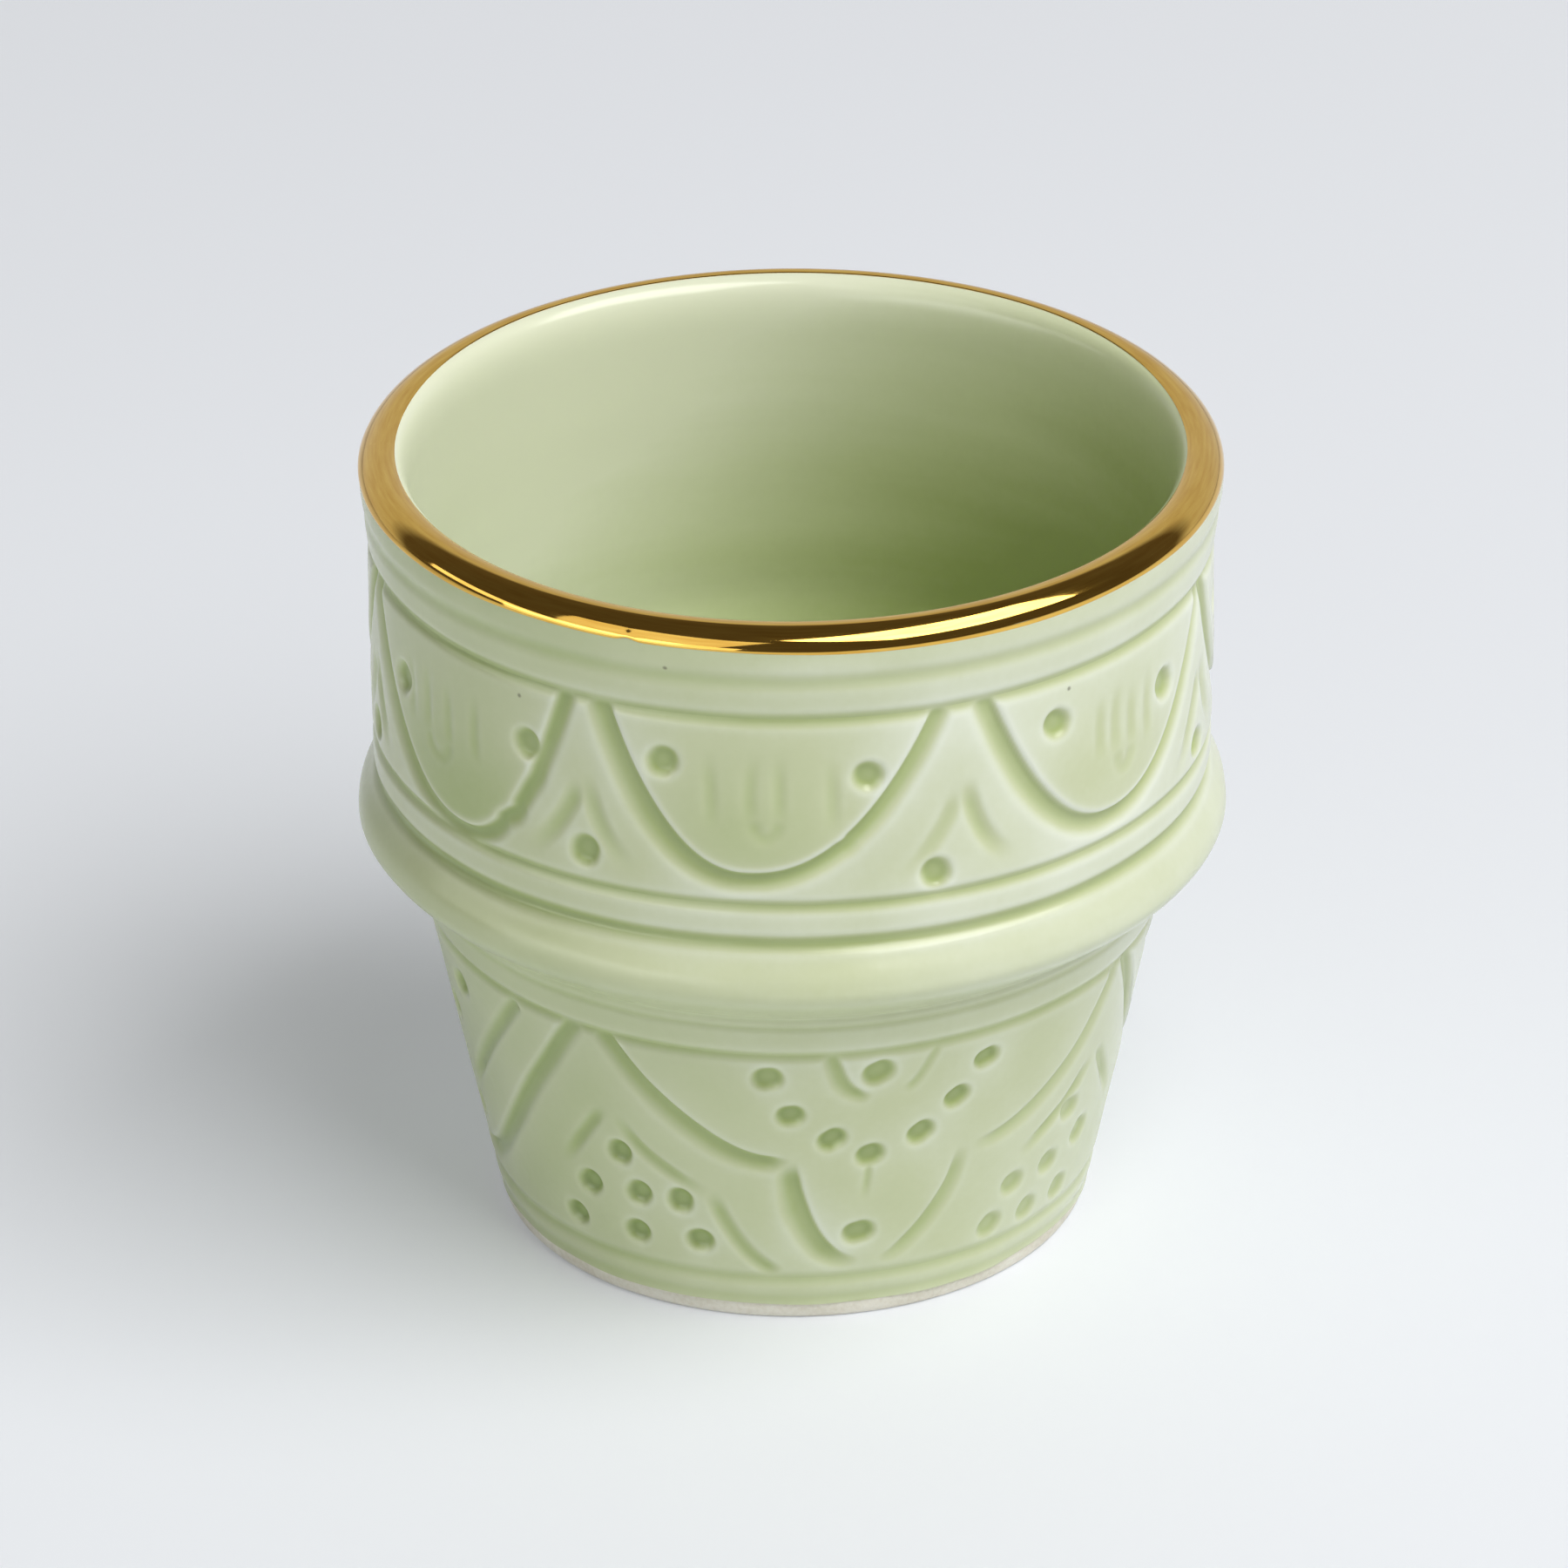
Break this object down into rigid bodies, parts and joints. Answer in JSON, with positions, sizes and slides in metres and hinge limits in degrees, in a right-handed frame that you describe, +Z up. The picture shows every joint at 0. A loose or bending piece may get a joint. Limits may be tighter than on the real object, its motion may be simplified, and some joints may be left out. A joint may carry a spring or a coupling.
{
  "type": "cup",
  "caption": "Handleless ceramic cup with a tapered foot, a swelling belly ring, an upright collar and a rounded gold lip, for hot drinks.",
  "frame": {"origin": "middle of the foot, on the surface the cup stands on", "axes": "+Z up along the cup's axis of turning; -Y is the side the picture is taken from"},
  "size_m": [0.082, 0.082, 0.078],
  "materials": {
    "clay": "bare fired clay, matte",
    "outer_glaze": "opaque pale green glaze, soft gloss",
    "inner_glaze": "opaque pale green glaze, glossy",
    "gold": "fired gold lustre, bright"
  },
  "bodies": {
    "root": {"clay_body": "clay", "outer_glaze": "outer_glaze", "inner_glaze": "inner_glaze", "gold_rim": "gold"}
  },
  "joints": []
}
